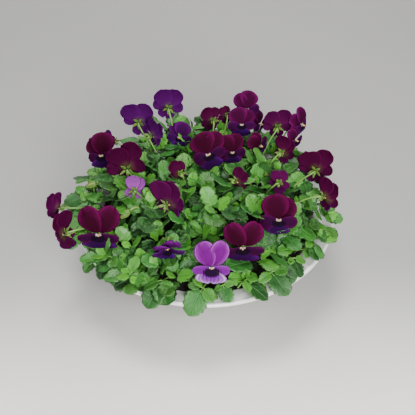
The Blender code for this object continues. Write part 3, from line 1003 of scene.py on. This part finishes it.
def add_stem(shape, finish, foot, head, facing, rise, bend, gap, radii):
    """A smooth stalk that climbs from the soil, bends over and meets the head from behind."""
    first = foot + Vector((0, 0, rise * (head.z - foot.z)))
    second, end = head - facing * bend, head - facing * gap
    path = []
    for step in range(len(radii)):
        t = step / (len(radii) - 1)
        weights = ((1 - t) ** 3, 3 * t * (1 - t) ** 2, 3 * t * t * (1 - t), t ** 3)
        path.append(sum((w * p for w, p in zip(weights, (foot, first, second, end))), Vector()))
    points, faces = tube(path, radii, 8)
    shape.add(points, faces, finish, blade=[(0.5, 0.0, 1.0)] * len(points))


def facing_of(compass, tilt):
    turn, rise = math.radians(compass), math.radians(tilt)
    return Vector((math.cos(rise) * math.cos(turn), math.cos(rise) * math.sin(turn), math.sin(rise)))


def face_frame(centre, facing, roll):
    side = Vector((0, 0, 1)).cross(facing).normalized()
    frame_of_face = Matrix((side, facing.cross(side), facing)).transposed().to_4x4()
    return Matrix.Translation(centre) @ frame_of_face @ spin(roll)


def head_place(node, facing, roll, width):
    """The head touches the top and the outer sides of its node's box; the stem takes up the rest."""
    low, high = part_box(node)
    turn = face_frame(Vector(), facing, roll)
    outline = []
    for step in range(outline_steps):
        round_face = 2 * math.pi * step / outline_steps
        lobe = 1 - lobe_depth + lobe_depth * math.cos(5 * (round_face + math.pi / 2))
        outline.append(turn @ Vector((width / 2 * lobe * math.cos(round_face),
                                      width / 2 * face_taller * lobe * math.sin(round_face), 0)))
    centre = Vector()
    for axis in range(3):
        spread = [point[axis] for point in outline]
        outer = axis == 2 or (low[axis] + high[axis]) / 2 > mound_middle[axis]
        centre[axis] = high[axis] - max(spread) if outer else low[axis] - min(spread)
    return centre


stem_finish = leaf_finish("stem_green", (0.11, 0.24, 0.04), (0.20, 0.38, 0.07), (0.32, 0.50, 0.10))
sepal_finish = leaf_finish("sepal_green", (0.07, 0.14, 0.02), (0.20, 0.34, 0.05), (0.34, 0.50, 0.10))
eye_finish = Finish("flower_eye", Roughness=0.5)
eye_finish.colour((0.66, 0.36, 0.12, 1.0))
# In each set, the second and fourth colours are the painted sheen on the rims of the upper petals and of
# the lip
petal_finishes = {
    "burgundy": petal_finish(
        "petals_burgundy", (0.024, 0.0, 0.008), (0.095, 0.0, 0.046), (0.016, 0.0, 0.034),
        (0.060, 0.0, 0.115), (0.045, 0.0, 0.022), 0.17, (0.75, 0.60, 0.62)),
    "plum": petal_finish(
        "petals_plum", (0.034, 0.0, 0.018), (0.125, 0.0, 0.080), (0.018, 0.0, 0.046),
        (0.065, 0.0, 0.140), (0.058, 0.0, 0.038), 0.17, (0.75, 0.62, 0.66)),
    "violet": petal_finish(
        "petals_violet", (0.028, 0.0, 0.034), (0.095, 0.0, 0.125), (0.020, 0.0, 0.052),
        (0.080, 0.002, 0.165), (0.060, 0.0, 0.080), 0.17, (0.75, 0.66, 0.72)),
    "lilac": petal_finish(
        "petals_lilac", (0.10, 0.0, 0.125), (0.40, 0.06, 0.46), (0.13, 0.01, 0.24),
        (0.60, 0.36, 0.74), (0.24, 0.05, 0.28), 0.22, (0.85, 0.70, 0.80), 0.6),
}

for number, (compass, tilt, roll, width, colour, form) in enumerate(bloom_faces, 1):
    name = f"bloom_{number:02d}"
    chance = random.Random(300 + number)
    width /= 1000
    facing = facing_of(compass, tilt)
    centre = head_place(name, facing, roll, width)
    shape = bloom_shape(width, form, chance)
    drop = throat_drops.get(form, usual_throat_drop) * width
    place = face_frame(centre, facing, roll) @ Matrix.Translation((0, -drop, 0))
    centre = place.translation.copy()
    shape.points = [place @ point for point in shape.points]
    foot = root_of(centre, 0.75, soil_high.z - 0.001)
    add_stem(shape, 3, foot, centre, facing, 0.75, 0.016, 0.0035, stem_radii)
    shape.marks["growth"] = {point: (chance.random(), 0.1, 0.5) for point in range(len(shape.points))}
    bloom = shape.piece(f"{name}_flower", petal_finishes[colour], sepal_finish, eye_finish.material,
                        stem_finish)
    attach(bloom, "root")
    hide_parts(name)


# ---------------- the buds
# A bud is still shut in its five sepals, with a furled tip of petal showing, on a hooked stem.

bud_stem_radii = [0.0009] * 13

buds = sorted(name for name in frame["nodes"] if name.startswith("bud_"))
for number, name in enumerate(buds):
    low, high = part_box(name)
    chance = random.Random(700 + number)
    middle = (low + high) / 2
    outward = (middle - mound_middle).xy.to_3d().normalized()
    centre = Vector((high.x - 0.005 if outward.x > 0 else low.x + 0.005,
                     high.y - 0.004 if outward.y > 0 else low.y + 0.004, high.z - 0.006))
    facing = (outward + Vector((0, 0, -0.4))).normalized()
    place = face_frame(centre, facing, 0)
    shape = Shape()
    for petal in range(5):
        turn = spin(72 * petal)
        grid = []
        for row in range(9):
            share = row / 8
            bulge = 0.0006 + 0.0026 * math.sin(math.pi * min(1.0, share * 0.9 + 0.08)) * (1 - 0.35 * share)
            half = 1.25 * bulge * math.sin(math.pi * share) ** 0.5 if 0 < row < 8 else 0.0
            grid.append([Vector((half * side, bulge - 0.25 * abs(half * side), -0.006 + 0.013 * share))
                         for side in across_strip])
        points, faces, spots = two_sided(grid, 0.0005)
        faces = [face[::-1] for face in faces]
        shape.add([turn @ point for point in points], faces, 0,
                  blade=[(along, across, 1.0) for along, across, _ in spots])
    core = [Vector((0, 0, -0.005 + 0.0125 * step / 6)) for step in range(7)]
    points, faces = tube(core, (0.0008, 0.0022, 0.0027, 0.0026, 0.0021, 0.0014, 0.0004), 10)
    shape.add(points, faces, 1, petal=[(0.5, 0.0, 1.0)] * len(points),
              face=[(0.4, 0.4, 0.0)] * len(points))
    shape.points = [place @ point for point in shape.points]
    foot = root_of(middle, 0.8, soil_high.z)
    add_stem(shape, 0, foot, centre, facing, 1.1, 0.014, 0.005, bud_stem_radii)
    shape.marks["growth"] = {point: (0.5, 0.3, 0.5) for point in range(len(shape.points))}
    bud = shape.piece(f"{name}_closed", sepal_finish, petal_finishes["violet"])
    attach(bud, "root")
    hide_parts(name)


# ---------------- light and camera
# Broad, even daylight: a window overhead, a stronger one low in front and a weak one behind, and a
# dim sky all round. The camera looks down on the planter from the front.

camera_rise = math.radians(42)
camera_distance = 0.850
focal_length = 72.6
look_at = Vector((0.0025, 0.001, rim_height + 0.001))

camera = linked("camera", bpy.data.cameras.new("camera"))
camera.data.lens = focal_length
camera.data.sensor_width = 36.0
camera.data.clip_end = 20.0
ahead = Vector((0, math.cos(camera_rise), -math.sin(camera_rise)))
camera.location = look_at - ahead * camera_distance
camera.rotation_euler = Euler((math.pi / 2 - camera_rise, 0, 0))
bpy.context.scene.camera = camera


def softbox(name, place, target, size, power, colour):
    lamp = bpy.data.lights.new(name, "AREA")
    lamp.shape = "DISK"
    lamp.size = size
    lamp.energy = power
    lamp.color = colour
    light = linked(name, lamp)
    light.location = place
    light.rotation_euler = (Vector(target) - Vector(place)).to_track_quat("-Z", "Y").to_euler()


softbox("sky_window", (-0.15, 0.1, 1.8), (0, 0, 0.1), 0.75, 26, (1.0, 0.99, 0.97))
softbox("front_window", (0.25, -1.2, 0.85), (0, -0.3, 0.0), 0.8, 34, (0.99, 1.0, 1.0))
softbox("back_window", (0.1, 1.5, 1.1), (0, 0.1, 0.1), 1.0, 11, (1.0, 0.99, 0.97))
world = bpy.data.worlds.new("daylight")
world.use_nodes = True
sky = world.node_tree.nodes["Background"]
sky.inputs["Color"].default_value = (0.90, 0.94, 1.0, 1.0)
sky.inputs["Strength"].default_value = 0.27
bpy.context.scene.world = world

low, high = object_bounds()
